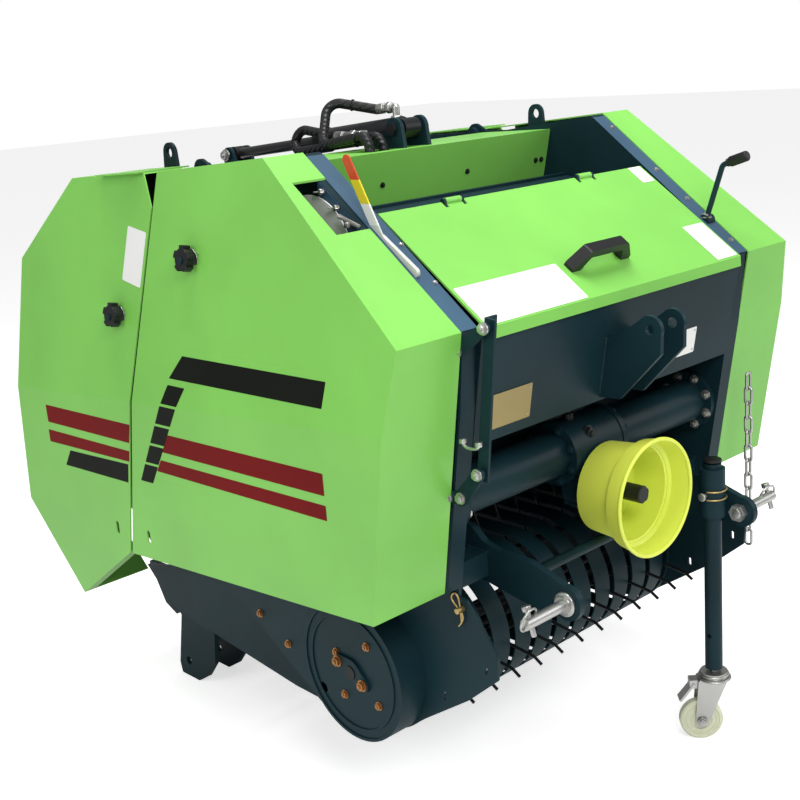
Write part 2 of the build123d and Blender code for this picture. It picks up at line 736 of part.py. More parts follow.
def rod_clevis():
    """Two plates on a foot, with a pin stub beside the rod's eye, whose pivot is left open."""
    low, high = clevis_ear
    foot_length, foot_sheet = clevis_foot
    front, back, foot_z = 1120, 1120 + foot_length, 1220
    eye_front, eye_back = rod_pivot[0] - rod_eye_radius, rod_pivot[0] + rod_eye_radius
    ear = plate([(front, foot_z), (back, foot_z), (eye_back, rod_pivot[1]), (eye_front, rod_pivot[1])], low, high)
    ear += disc(rod_pivot, rod_eye_radius, low, high)
    ear += disc(rod_pivot, clevis_pin_radius, (rod_eye_half + low) / 2, clevis_pin_end)
    foot = Pos(0, (front + back) / 2, foot_z + foot_sheet / 2) * Box(2 * high, foot_length, foot_sheet)
    return ear + other_side(ear) + foot


def rear_feet():
    """Two legs with their stand plates, cross tube and beam."""
    outer = [
        (1290, 296), (1230, 190), (1183, 170), (1158, 183), (1196, 30), (1190, 0), (1112, 0), (1068, 27), (1028, 75),
        (1000, 250), (1040, 300),
    ]
    inner = [(1158, 183), (1196, 30), (1190, 0), (1112, 0), (1068, 27), (1028, 75), (1024, 183)]
    feet = plate(outer, foot_outer_x - foot_plate, foot_outer_x, corner=5)
    feet += plate(inner, foot_inner_x - foot_plate, foot_inner_x, corner=5)
    feet -= disc(foot_hole, foot_hole_radius, foot_inner_x - foot_plate - 1, foot_outer_x + 1)
    feet += other_side(feet)
    feet += disc(foot_tube, foot_tube_radius, -foot_outer_x, foot_outer_x)
    return feet + cross_tube((1080, 275), 60, 50, 4, side_inner_x)


def jack_collar():
    """Sleeve that holds the jack's tube, welded to the left hitch arm."""
    collar = upright(jack_x, jack_y, collar_radius, collar_bottom, collar_top)
    tab = Pos((jack_x + arm_inner_x) / 2, jack_y, (collar_top + collar_bottom) / 2 - 8)
    collar += tab * Box(arm_inner_x - jack_x, 16, 70)
    collar -= upright(jack_x, jack_y, jack_tube_radius + running_gap, collar_bottom - 1, collar_top + 1)
    return collar


def jack_tube():
    """Jack leg with its stop cap, pin holes and the caster's socket."""
    tube = upright(jack_x, jack_y, jack_tube_radius, jack_tube_bottom - 20, jack_tube_top)
    tube += upright(jack_x, jack_y, jack_tube_radius - 5, jack_tube_top, jack_tube_top + 4)
    for height in jack_holes:
        tube -= bar((jack_x - 30, jack_y, height), (jack_x + 30, jack_y, height), jack_hole_radius)
    return tube - upright(jack_x, jack_y, caster_pin_radius + running_gap, jack_tube_bottom - 21, jack_tube_bottom + 20)


def caster(shape):
    """Turns a caster piece from its own frame, trailing along X, to its place under the jack."""
    return Pos(jack_x, jack_y, 0) * Rot(0, 0, caster_heading) * shape


def caster_fork():
    """Swivel head, fork and brake pedal of the caster."""
    wheel_z = caster_wheel_radius
    fork = Pos(0, 0, 158) * Cylinder(30, 12) + Pos(0, 0, 150) * Cylinder(35, 5)
    fork += Pos(0, 0, 164) * Cylinder(caster_pin_radius, 26, align=(Align.CENTER, Align.CENTER, Align.MIN))
    hull = make_hull(
        [*(Pos(caster_trail, wheel_z) * Circle(15)).edges(), *(Pos(-16, 142) * Circle(8)).edges(),
         *(Pos(30, 142) * Circle(8)).edges()]
    )
    cheek = extrude(Plane.XZ.offset(-caster_wheel_width / 2 - 4) * hull, amount=-caster_cheek)
    fork += cheek + mirror(cheek, about=Plane.XZ)
    fork += Pos(7, 0, 147) * Box(50, caster_wheel_width + 16, 8)
    pedal = Pos(62, 0, 118) * Rot(0, 52, 0) * Box(52, 30, 5)
    fork += pedal + Pos(39, 0, 137) * Box(34, 26, 20)
    return fork - Pos(caster_trail, 0, wheel_z) * Rot(90, 0, 0) * Cylinder(axle_radius + running_gap, 80)


def caster_wheel():
    """Moulded wheel with a rounded tread, hub faces and its axle."""
    half = caster_wheel_width / 2
    edge = caster_wheel_radius
    profile = [(0, -half), (14, -half), (14, 3 - half), (edge - 10, 3 - half), (edge - 8, -half), (edge - 4, -half),
               (edge, 4 - half)]
    rim = [(radius, -offset_y) for radius, offset_y in reversed(profile)]
    wheel = revolve(make_face(Polyline(*profile, *rim, close=True)), axis=Axis.Y)
    wheel += Rot(90, 0, 0) * Cylinder(axle_radius, caster_wheel_width + 26)
    return Pos(caster_trail, 0, caster_wheel_radius) * wheel


def cylinder_line():
    """Base pivot, unit direction and length of the tailgate cylinder."""
    reach = Vector(0, rod_pivot[0] - lug_pivot[0], rod_pivot[1] - lug_pivot[1])
    return Vector(0, *lug_pivot), reach.normalized(), reach.length


def cylinder_barrel():
    """Barrel with its eye, pin, end cap, gland and port bosses."""
    base, line, length = cylinder_line()
    barrel = bar(base + line * 14, base + line * barrel_length, barrel_radius)
    barrel += bar(base + line * (barrel_length - barrel_gland), base + line * barrel_length, barrel_radius + 3)
    barrel += disc(lug_pivot, barrel_radius - 5, 3 - barrel_radius, barrel_radius - 3)
    pin_half = barrel_radius + lug_gap + lug_plate + 6
    barrel += disc(lug_pivot, clevis_pin_radius, -pin_half, pin_half)
    for side in (-1, 1):
        head = Plane.YZ.offset(side * (pin_half - 4)) * Pos(*lug_pivot) * RegularPolygon(15, 6)
        barrel += extrude(head, amount=side * 8)
    return barrel - bar(base + line * 50, base + line * (barrel_length + 1), rod_radius + running_gap)


def cylinder_rod():
    """Polished rod with its eye, which is open enough for the swing of the linkage."""
    base, line, length = cylinder_line()
    rod = bar(base + line * 190, base + line * (length - 14), rod_radius)
    rod += disc(rod_pivot, rod_eye_radius, -rod_eye_half, rod_eye_half)
    return rod - disc(rod_pivot, clevis_pin_radius + rod_eye_clearance, -rod_eye_half - 1, rod_eye_half + 1)


hose_arch = [(0, 636, 1424), (-48, 752, 1449), (-96, 724, 1354), (-112, 548, 1378), (-112, 548, 1318)]
hose_loop = [(-44, 735, 1370), (-52, 876, 1392), (-66, 858, 1334), (-68, 552, 1374), (-68, 552, 1318)]


def hydraulic_hoses():
    """The two hoses that ride on the cylinder and go down through the deck."""
    return pipe(hose_arch, hose_radius, hose_bend) + pipe(hose_loop, hose_radius, hose_bend)


def hose_fittings():
    """Steel fittings between the barrel's ports and the hoses."""
    base, line, length = cylinder_line()
    port = base + line * 32
    elbow = (0, port.Y, hose_arch[0][2] + 4)
    fittings = bar((0, port.Y, port.Z + barrel_radius - 1), elbow, fitting_radius)
    fittings += bar(elbow, hose_arch[0], fitting_radius) + Pos(*elbow) * Sphere(fitting_radius)
    side_port = base + line * 110
    knee = (hose_loop[0][0], side_port.Y, side_port.Z)
    fittings += bar((-barrel_radius + 1, side_port.Y, side_port.Z), knee, fitting_radius)
    fittings += bar(knee, hose_loop[0], fitting_radius) + Pos(*knee) * Sphere(fitting_radius)
    barrel = bar(base, base + line * barrel_length, barrel_radius)
    return fittings - barrel - hydraulic_hoses()


def link_bar():
    """Angle bar in front of the right post, with its lower lever and end brackets."""
    run = Vector(0, link_bottom[0] - link_top[0], link_bottom[1] - link_top[1])
    seat = Plane(origin=(-link_x, *link_top), x_dir=(-1, 0, 0), z_dir=run)
    corner = [(-link_width, 0), (link_sheet, 0), (link_sheet, -link_width), (0, -link_width), (0, -link_sheet), (-link_width, -link_sheet)]
    angle = extrude(seat * make_face(Polyline(*corner, close=True)), amount=run.length)
    low, high = -link_x - 18, -link_x - 12
    bracket = strap([(link_pivot, 15), (link_pin_low, 12)], low, high)
    bracket += strap([(link_pivot, 12), ((link_pivot[0] + 40, link_pivot[1] - 4), 12)], low, high)
    bracket += strap([(link_pin_high, 10), ((front_corner[0] + 14, front_corner[1] - 34), 12)], low, high)
    for pin in (link_pin_low, link_pin_high):
        bracket += disc(pin, 6, low, -link_x)
    return angle + bracket


def above_rail(shape, x_from, x_to):
    """Cuts away what is below a rail's top face."""
    below = rail_foot[1] - 200
    return shape - plate([rail_foot, rail_top, (rail_top[0], below), (rail_foot[0], below)], x_from, x_to)


def density_scale():
    """Painted pointer strip on the right rail and the white disc below the notch."""
    x = cover_inner_x - 8
    strip = strap([(scale_foot, scale_width / 2), (scale_tip, scale_width / 2)], -x, -x + 3)
    strip += strap([(scale_foot, 9), (along(lid_front, lid_rear, 0.5), 9)], -x, -x + 8)
    strip = above_rail(strip, -x - 1, -x + 9)
    dial = disc(scale_disc, scale_disc_radius, -scale_disc_x - 3, -scale_disc_x)
    dial += disc(scale_disc, 12, -scale_disc_x, -side_outer_x)
    return strip + dial


def side_lever():
    """Bent control lever with its foot on the left rail."""
    lever = pipe([(lever_x, *lever_foot), (lever_x, *lever_bend), (lever_x, *lever_end)], lever_radius, 14)
    return above_rail(lever + disc(lever_foot, 13, lever_x - 10, lever_x + 16), lever_x - 20, lever_x + 20)


def chain_link(centre, turn):
    """One wire link, upright, turned about its own long axis."""
    path = SlotCenterToCenter(link_straight, 2 * link_bend_radius).wire()
    ring = sweep(Plane(origin=path @ 0, z_dir=path % 0) * Circle(chain_wire), path=path)
    return Pos(*centre) * Rot(0, 0, turn) * Rot(0, 90, 0) * ring


def safety_chain():
    """Chain on the hook plate of the left post: a short strand, and a long one that hangs free."""
    chain = plate(hook_outline, chain_x - 10, chain_x + 8)
    for top, count in chain_strands:
        for link in range(count):
            chain += chain_link((chain_x - 2, -30, top - chain_pitch * link), 90 * (link % 2))
    return chain


def build():
    """All sub-parts by name."""
    parts = {}

    def pair(name, shape):
        parts[name + "_left"] = shape
        parts[name + "_right"] = other_side(shape)

    pair("side_frame", side_frame())
    parts["side_frame_left"] += lifting_eye(eye_front, 50)
    pair("hinge_bracket", hinge_bracket())
    pair("front_cover", front_cover())
    parts["front_cover_right"] -= scale_window()
    parts["top_deck"] = top_deck()
    parts["top_beam"] = cross_tube((640, 1322), 40, 28, 4, side_inner_x)
    parts["cylinder_lugs"] = cylinder_lugs()
    parts["net_box"] = net_box()
    parts["net_box_lid"] = net_box_lid()
    parts["lid_handle"] = lid_handle()
    parts["mast"] = mast()
    pair("hitch_arm", hitch_arm())
    pair("hitch_pin", hitch_pin())
    parts["cross_rod"] = disc(cross_rod, cross_rod_radius, -arm_inner_x - arm_plate, arm_inner_x + arm_plate)
    parts["gearbox"] = gearbox()
    pair("drive_tube", drive_tube())
    parts["pto_shaft"] = pto_shaft()
    parts["pto_shield"] = pto_shield()
    parts["pickup_bands"] = pickup_bands()
    parts["pickup_reel"] = pickup_reel()
    parts["pickup_drive_case"] = pickup_drive_case()
    pair("pickup_guard", pickup_side_plate())
    for step in front_roller_steps + rear_roller_steps:
        parts["roller_%02d" % (step + 1)] = roller(step)
    pair("tailgate_side", tailgate_side())
    parts["tailgate_side_right"] += other_side(lifting_eye(eye_rear, 40))
    pair("rear_cover", rear_cover())
    parts["tailgate_beams"] = tailgate_beams()
    parts["rod_clevis"] = rod_clevis()
    parts["rear_feet"] = rear_feet()
    parts["jack_collar"] = jack_collar()
    parts["jack_tube"] = jack_tube()
    parts["caster_fork"] = caster(caster_fork())
    parts["caster_wheel"] = caster(caster_wheel())
    parts["cylinder_barrel"] = cylinder_barrel()
    parts["cylinder_rod"] = cylinder_rod()
    parts["hydraulic_hoses"] = hydraulic_hoses()
    parts["hose_fittings"] = hose_fittings()
    parts["link_bar"] = link_bar()
    parts["density_scale"] = density_scale()
    parts["side_lever"] = side_lever()
    parts["safety_chain"] = safety_chain()
    return parts


os.makedirs("parts", exist_ok=True)
for name, shape in build().items():
    export_step(Pos(0, -middle_y, 0) * shape, "parts/%s.step" % name)
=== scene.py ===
import json
from math import cos, pi, radians, sin

import bmesh
import bpy
from bpy.props import FloatProperty, FloatVectorProperty, IntProperty, PointerProperty
from mathutils import Matrix, Vector


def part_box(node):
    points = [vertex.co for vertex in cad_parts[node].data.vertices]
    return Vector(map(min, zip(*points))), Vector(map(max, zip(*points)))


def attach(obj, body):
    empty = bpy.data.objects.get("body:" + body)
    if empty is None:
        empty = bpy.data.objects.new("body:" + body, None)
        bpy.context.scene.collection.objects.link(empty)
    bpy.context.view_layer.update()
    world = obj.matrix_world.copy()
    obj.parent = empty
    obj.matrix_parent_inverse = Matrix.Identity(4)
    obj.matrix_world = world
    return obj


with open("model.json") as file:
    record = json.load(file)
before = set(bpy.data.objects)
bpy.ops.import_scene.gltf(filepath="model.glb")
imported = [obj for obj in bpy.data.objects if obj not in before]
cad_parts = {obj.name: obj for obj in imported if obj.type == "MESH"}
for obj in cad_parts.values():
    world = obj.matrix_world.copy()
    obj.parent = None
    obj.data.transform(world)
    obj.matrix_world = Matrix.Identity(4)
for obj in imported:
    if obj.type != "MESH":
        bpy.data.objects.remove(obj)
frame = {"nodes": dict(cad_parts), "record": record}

bl_info = {
    "name": "Round Baler Dressing",
    "version": (1, 0, 0),
    "blender": (4, 5, 0),
    "location": "View3D > Sidebar > Baler",
    "description": "Finishes, fastenings, stripes and labels for a compact round baler",
    "category": "Add Mesh",
}

# Places are written in millimetres: X across the machine with its left side at +X, Y back from the
# front edge of the side covers, and Z up from the floor. The frame says where that front edge lies.
MM = 0.001
FLANGE_WIDTH = 0.025
FRONT_EDGE_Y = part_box("front_cover_left")[0].y + FLANGE_WIDTH
COVER_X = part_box("front_cover_left")[1].x / MM
COVER_LEAN = 0.178
RIGHT, LEFT = -1, 1
ACROSS = Vector((1, 0, 0))
FORWARD = Vector((0, -1, 0))
UP = Vector((0, 0, 1))
LID_REAR = (219, 1260)
LID_SLOPE = 187 / 255
COVER_SLOPE = 301 / 383
PANEL_TOP = (-30, 1057)
PANEL_SLOPE = 38 / 205

CAMERA_PLACE = (-1925.8, -1484.6, 1526.1)
CAMERA_VIEW = (0.6490, 0.7146, -0.2615)
CAMERA_TILT = -4.191
CAMERA_LENS = 56.25

# Where the input shaft's axis and the jack's stand, and how the caster is turned.
INPUT_Z = 657
JACK_X, JACK_Y = 256, -55
CASTER_HEADING, CASTER_TRAIL, CASTER_AXLE_Z = 135, 30, 48

# Each finish: its colour or the name of a colour in the panel, roughness, coat, specular level, size
# and depth of its grain, metal, and how far its darker patches sink.
PAINTS = {
    "green_paint": dict(
        colour="cover_green", rough=0.34, coat=0.1, shine=0.35, grain=420, bump=0.05, tone=0.88
    ),
    "teal_paint": dict(colour="frame_teal", rough=0.36, shine=0.14, grain=300, bump=0.09, tone=0.6),
    "roller_steel": dict(colour="frame_teal", rough=0.45, shine=0.12, grain=240, bump=0.12, tone=0.55),
    "zinc": dict(colour=(0.55, 0.55, 0.53), rough=0.32, metal=0.95, grain=160, bump=0.06, tone=0.7),
    "yellow_guard": dict(colour="guard_yellow", rough=0.36, grain=300, bump=0.06, tone=0.92),
    "black_grip": dict(colour=(0.006, 0.006, 0.007), rough=0.4, shine=0.35, grain=500, bump=0.12, tone=1.8),
    "black_steel": dict(colour=(0.008, 0.009, 0.01), rough=0.34, shine=0.25, grain=260, bump=0.1, tone=1.7),
    "bright_rod": dict(colour=(0.03, 0.03, 0.032), rough=0.2, metal=0.6, grain=600, bump=0.02, tone=1.3),
    "nylon": dict(colour=(0.72, 0.74, 0.55), rough=0.4, grain=260, bump=0.05, tone=0.88),
    "label_white": dict(colour=(0.8, 0.8, 0.78), rough=0.36, grain=900, bump=0.02, tone=0.93),
    "brass_plate": dict(colour=(0.36, 0.28, 0.12), rough=0.36, metal=0.7, grain=700, bump=0.03, tone=0.8),
    "stripe_red": dict(
        colour=(0.16, 0.004, 0.004), rough=0.42, shine=0.08, grain=500, bump=0.02, tone=0.82
    ),
    "stripe_black": dict(
        colour=(0.005, 0.006, 0.004), rough=0.45, shine=0.08, grain=500, bump=0.02, tone=1.4
    ),
    "stripe_film": dict(colour="cover_green", rough=0.24, coat=0.4, grain=30, bump=0.04, tone=0.97),
    "copper_bolt": dict(colour=(0.42, 0.2, 0.07), rough=0.36, metal=0.85, grain=300, bump=0.08, tone=0.7),
    "gold_zinc": dict(colour=(0.5, 0.37, 0.15), rough=0.32, metal=0.85, grain=300, bump=0.05, tone=0.75),
    # On the rail skins this blue is a painted reflection of the sky. The scale plate wears the same blue.
    "rail_blue": dict(colour=(0.045, 0.1, 0.16), rough=0.32, shine=0.3, grain=320, bump=0.05, tone=0.7),
}


def at(x, y, z):
    """A place in millimetres as a point of the frame."""
    return Vector((x * MM, y * MM + FRONT_EDGE_Y, z * MM))


def cover_skin(y, z, side, lift=0.0):
    """The point of a side cover's outer face at that place, lifted off it."""
    crease = 928 - 0.07 * y
    lean = COVER_LEAN * max(0.0, z - crease)
    return at(side * (COVER_X - lean + lift), y, z)


def on_lid(x, y, lift=0.5):
    """A point of the lid's top face."""
    return at(x, y - lift * 0.59, LID_REAR[1] + (y - LID_REAR[0]) * LID_SLOPE + lift * 0.81)


def on_panel(x, z, lift=0.5):
    """A point of the net box's front face."""
    return at(x, PANEL_TOP[0] + (PANEL_TOP[1] - z) * PANEL_SLOPE - lift, z)


def clear_selection():
    if bpy.context.object and bpy.context.object.mode != "OBJECT":
        bpy.ops.object.mode_set(mode="OBJECT")
    bpy.ops.object.select_all(action="DESELECT")


def only(piece):
    """Selects one piece and makes it the active one."""
    clear_selection()
    piece.select_set(True)
    bpy.context.view_layer.objects.active = piece
    return piece


def shape_up(piece, wanted):
    """Enters edit mode with the faces selected for which wanted(centre, normal) holds."""
    only(piece)
    bpy.ops.object.mode_set(mode="EDIT")
    bpy.ops.mesh.select_mode(type="FACE")
    bpy.ops.mesh.select_all(action="DESELECT")
    mesh = bmesh.from_edit_mesh(piece.data)
    for face in mesh.faces:
        face.select_set(wanted(face.calc_center_median(), face.normal))
    mesh.select_flush(True)
    bmesh.update_edit_mesh(piece.data)


def done_shaping():
    bpy.ops.object.mode_set(mode="OBJECT")


def settle(piece):
    """Applies the piece's place, turn and scale, so that it sits at the origin."""
    only(piece)
    bpy.ops.object.transform_apply(location=True, rotation=True, scale=True)
    return piece


def turned_to(direction):
    return direction.normalized().to_track_quat("Z", "Y").to_matrix().to_4x4()


def round_bar(start, end, radius, edge=0.0, sides=32):
    """A round bar with bevelled ends between two points."""
    clear_selection()
    run = end - start
    bpy.ops.mesh.primitive_cylinder_add(vertices=sides, radius=radius * MM, depth=run.length)
    bar = bpy.context.object
    if edge:
        shape_up(bar, lambda centre, normal: abs(normal.z) > 0.9)
        bpy.ops.mesh.bevel(offset=edge * MM, segments=3, affect="EDGES")
        done_shaping()
    bar.matrix_world = Matrix.Translation((start + end) / 2) @ turned_to(run)
    return settle(bar)


def block(centre, size, turn=None, edge=1.0):
    """A block with bevelled edges."""
    clear_selection()
    bpy.ops.mesh.primitive_cube_add(size=1)
    solid = bpy.context.object
    solid.scale = [length * MM for length in size]
    settle(solid)
    shape_up(solid, lambda middle, normal: True)
    bpy.ops.mesh.bevel(offset=edge * MM, segments=2, affect="EDGES")
    done_shaping()
    solid.matrix_world = Matrix.Translation(centre) @ (turn or Matrix.Identity(4))
    return settle(solid)


def ring(centre, direction, radius, wire):
    clear_selection()
    bpy.ops.mesh.primitive_torus_add(
        major_radius=radius * MM, minor_radius=wire * MM, major_segments=40, minor_segments=12
    )
    loop = bpy.context.object
    loop.matrix_world = Matrix.Translation(centre) @ turned_to(direction)
    return settle(loop)


def wire(points, radius, closed=False):
    """A bent wire through the points."""
    clear_selection()
    curve = bpy.data.curves.new("wire", "CURVE")
    curve.dimensions = "3D"
    spline = curve.splines.new("NURBS")
    spline.points.add(len(points) - 1)
    for knot, point in zip(spline.points, points):
        knot.co = (*point, 1)
    spline.order_u = 3
    spline.use_endpoint_u = not closed
    spline.use_cyclic_u = closed
    curve.bevel_depth = radius * MM
    curve.bevel_resolution = 4
    curve.use_fill_caps = True
    piece = bpy.data.objects.new("wire", curve)
    bpy.context.collection.objects.link(piece)
    only(piece)
    bpy.ops.object.convert(target="MESH")
    return bpy.context.object


def sheet(corners, thickness=0.4, rounding=0.0):
    """A thin plate or film with its corners at the points, in order round it, rising towards its normal."""
    clear_selection()
    bpy.ops.mesh.primitive_plane_add(size=1)
    film = bpy.context.object
    order = (0, 1, 3, 2)
    for vertex, corner in zip(order, corners):
        film.data.vertices[vertex].co = corner
    shape_up(film, lambda centre, normal: True)
    if rounding:
        bpy.ops.mesh.bevel(offset=rounding * MM, segments=4, affect="VERTICES")
    done_shaping()
    modifier = film.modifiers.new("thickness", "SOLIDIFY")
    modifier.thickness = thickness * MM
    modifier.offset = 1
    bpy.ops.object.modifier_apply(modifier=modifier.name)
    return film


def joined(pieces):
    clear_selection()
    for piece in pieces:
        piece.select_set(True)
    bpy.context.view_layer.objects.active = pieces[0]
    if len(pieces) > 1:
        bpy.ops.object.join()
    return bpy.context.object


def lathe(radius, depth, middle, sides):
    """An upright cylinder over the origin, in shares of a millimetre."""
    clear_selection()
    bpy.ops.mesh.primitive_cylinder_add(
        vertices=sides, radius=radius * MM, depth=depth * MM, location=(0, 0, middle * MM)
    )
    return settle(bpy.context.object)


def share_of_turn(centre, count):
    """How far a face's middle has gone, from 0 to 1, through its share of a circle cut in equal parts."""
    angle = Vector((centre.x, centre.y)).angle_signed(Vector((1, 0)), 0)
    return (angle / (2 * pi) * count) % 1


def spread(master, places):
    """Copies of an upright piece, each (point, direction, size), joined into one; the master goes."""
    copies = []
    for point, direction, size in places:
        copy = master.copy()
        copy.data = master.data.copy()
        bpy.context.collection.objects.link(copy)
        copy.matrix_world = Matrix.Translation(point) @ turned_to(direction) @ Matrix.Scale(size, 4)
        copies.append(settle(copy))
    bpy.data.objects.remove(master)
    return joined(copies)


def hex_bolt():
    """A hexagon head with a washer, its head one millimetre from middle to corner."""
    head = lathe(1, 0.7, 0.5, 6)
    shape_up(head, lambda centre, normal: normal.z > 0.9)
    bpy.ops.mesh.inset(thickness=0.12 * MM)
    bpy.ops.transform.translate(value=(0, 0, 0.08 * MM))
    done_shaping()
    washer = lathe(1.25, 0.3, 0.1, 28)
    stud = lathe(0.45, 0.5, 0.95, 20)
    return joined([head, washer, stud])


def star_knob():
    """A five-lobed hand knob on a collar, one millimetre in radius."""
    lobes, lobe_share = 5, 0.55
    knob = lathe(0.82, 0.7, 0.67, 40)
    shape_up(knob, lambda centre, normal: abs(normal.z) < 0.5 and share_of_turn(centre, lobes) < lobe_share)
    bpy.ops.mesh.extrude_region_shrink_fatten(TRANSFORM_OT_shrink_fatten={"value": 0.24 * MM})
    done_shaping()
    modifier = knob.modifiers.new("edges", "BEVEL")
    modifier.width = 0.09 * MM
    modifier.segments = 3
    bpy.ops.object.modifier_apply(modifier=modifier.name)
    clear_selection()
    bpy.ops.mesh.primitive_cone_add(
        vertices=32, radius1=0.62 * MM, radius2=0.45 * MM, depth=0.4 * MM, location=(0, 0, 0.2 * MM)
    )
    collar = settle(bpy.context.object)
    return joined([knob, collar])


def wing_screw():
    """A wing screw, its wings one millimetre out from the middle."""
    hub = round_bar(Vector((0, 0, 0)), Vector((0, 0, 0.7 * MM)), 0.42, 0.08)
    wings = []
    for side in (-1, 1):
        splay = Matrix.Rotation(-side * 0.5, 4, "Y")
        wings.append(block(Vector((side * 0.62 * MM, 0, 0.75 * MM)), (0.75, 0.22, 0.6), splay, 0.09))
    return joined([hub, *wings])


def paint(name):
    """The material of one finish: slow changes of tone, a fine grain and an uneven gloss."""
    made = bpy.data.materials.get(name + "_finish")
    if made:
        return made
    spec = PAINTS[name]
    colour = spec["colour"]
    if isinstance(colour, str):
        colour = tuple(getattr(bpy.context.scene.baler_colours, colour))
    made = bpy.data.materials.new(name + "_finish")
    made.use_nodes = True
    nodes, links = made.node_tree.nodes, made.node_tree.links
    shader = nodes["Principled BSDF"]
    place = nodes.new("ShaderNodeTexCoord")
    cloud = nodes.new("ShaderNodeTexNoise")
    cloud.inputs["Scale"].default_value = 3.5
    cloud.inputs["Detail"].default_value = 6
    grain = nodes.new("ShaderNodeTexNoise")
    grain.inputs["Scale"].default_value = spec["grain"]
    grain.inputs["Detail"].default_value = 3
    tones = nodes.new("ShaderNodeValToRGB")
    tones.color_ramp.elements[0].position = 0.3
    tones.color_ramp.elements[0].color = (*[min(1, part * spec["tone"]) for part in colour], 1)
    tones.color_ramp.elements[1].position = 0.62
    tones.color_ramp.elements[1].color = (*colour, 1)
    gloss = nodes.new("ShaderNodeMapRange")
    gloss.inputs["To Min"].default_value = spec["rough"] - 0.07
    gloss.inputs["To Max"].default_value = spec["rough"] + 0.12
    relief = nodes.new("ShaderNodeBump")
    relief.inputs["Strength"].default_value = spec["bump"]
    relief.inputs["Distance"].default_value = 0.001
    for texture in (cloud, grain):
        links.new(place.outputs["Object"], texture.inputs["Vector"])
    links.new(cloud.outputs["Fac"], tones.inputs["Fac"])
    links.new(tones.outputs["Color"], shader.inputs["Base Color"])
    links.new(cloud.outputs["Fac"], gloss.inputs["Value"])
    links.new(gloss.outputs["Result"], shader.inputs["Roughness"])
    links.new(grain.outputs["Fac"], relief.inputs["Height"])
    links.new(relief.outputs["Normal"], shader.inputs["Normal"])
    shader.inputs["Metallic"].default_value = spec.get("metal", 0.0)
    shader.inputs["Coat Weight"].default_value = spec.get("coat", 0.0)
    shader.inputs["Coat Roughness"].default_value = 0.12
    shader.inputs["Specular IOR Level"].default_value = spec.get("shine", 0.5)
    return made


def banded_paint(name, base, axis, bands):
    """A copy of a finish whose colour changes in bands along an axis, each (height in mm, colour)."""
    made = paint(base).copy()
    made.name = name
    nodes, links = made.node_tree.nodes, made.node_tree.links
    place = next(node for node in nodes if node.type == "TEX_COORD")
    shader = nodes["Principled BSDF"]
    split = nodes.new("ShaderNodeSeparateXYZ")
    links.new(place.outputs["Object"], split.inputs["Vector"])
    low, high = bands[0][0] * MM, bands[-1][0] * MM + 0.02
    share = nodes.new("ShaderNodeMapRange")
    share.inputs["From Min"].default_value = low
    share.inputs["From Max"].default_value = high
    links.new(split.outputs[axis], share.inputs["Value"])
    ramp = nodes.new("ShaderNodeValToRGB")
    ramp.color_ramp.interpolation = "CONSTANT"
    stops = ramp.color_ramp.elements
    stops.remove(stops[1])
    for count, (height, colour) in enumerate(bands):
        stop = stops[0] if count == 0 else stops.new((height * MM - low) / (high - low))
        stop.color = (*colour, 1)
    links.new(share.outputs["Result"], ramp.inputs["Fac"])
    links.new(ramp.outputs["Color"], shader.inputs["Base Color"])
    return made


def sleeve_paint():
    """Black spiral sleeve over a hose, as ridges that run round it."""
    made = paint("black_grip").copy()
    made.name = "hose_sleeve"
    nodes, links = made.node_tree.nodes, made.node_tree.links
    place = next(node for node in nodes if node.type == "TEX_COORD")
    relief = next(node for node in nodes if node.type == "BUMP")
    ridges = nodes.new("ShaderNodeTexWave")
    ridges.bands_direction = "DIAGONAL"
    ridges.inputs["Scale"].default_value = 38
    ridges.inputs["Distortion"].default_value = 1.5
    links.new(place.outputs["Object"], ridges.inputs["Vector"])
    links.new(ridges.outputs["Fac"], relief.inputs["Height"])
    relief.inputs["Strength"].default_value = 0.6
    relief.inputs["Distance"].default_value = 0.003
    return made


def finish(piece, name, coat, body, smooth=35):
    """Names a piece, gives it its finish and lets it ride on its body."""
    only(piece)
    bpy.ops.object.shade_smooth_by_angle(angle=radians(smooth))
    piece.name = name
    piece.data.name = name
    piece.data.materials.clear()
    piece.data.materials.append(paint(coat) if isinstance(coat, str) else coat)
    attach(piece, body)
    return piece


class BalerColours(bpy.types.PropertyGroup):
    cover_green: FloatVectorProperty(
        name="Cover green", description="Powder coat of the covers and the lid", subtype="COLOR",
        default=(0.2, 0.55, 0.09), min=0, max=1,
    )
    frame_teal: FloatVectorProperty(
        name="Frame teal", description="Paint of the frame, the drive and the pickup", subtype="COLOR",
        default=(0.0075, 0.028, 0.036), min=0, max=1,
    )
    guard_yellow: FloatVectorProperty(
        name="Guard yellow", description="Plastic of the input shaft's guard", subtype="COLOR",
        default=(0.76, 0.86, 0.1), min=0, max=1,
    )


class BalerSizes(bpy.types.PropertyGroup):
    knob_radius: FloatProperty(
        name="Knob radius", description="Hand knobs of the side covers, in millimetres",
        default=25.0, min=8, max=40,
    )
    flange_bolts: IntProperty(
        name="Flange bolts", description="Bolts round each flange of the cross tubes",
        default=8, min=3, max=16,
    )
    bolt_radius: FloatProperty(
        name="Bolt radius", description="Hexagon heads of the flange bolts, in millimetres",
        default=9.0, min=4, max=16,
    )
    splines: IntProperty(name="Splines", description="Teeth of the input shaft", default=6, min=6, max=21)


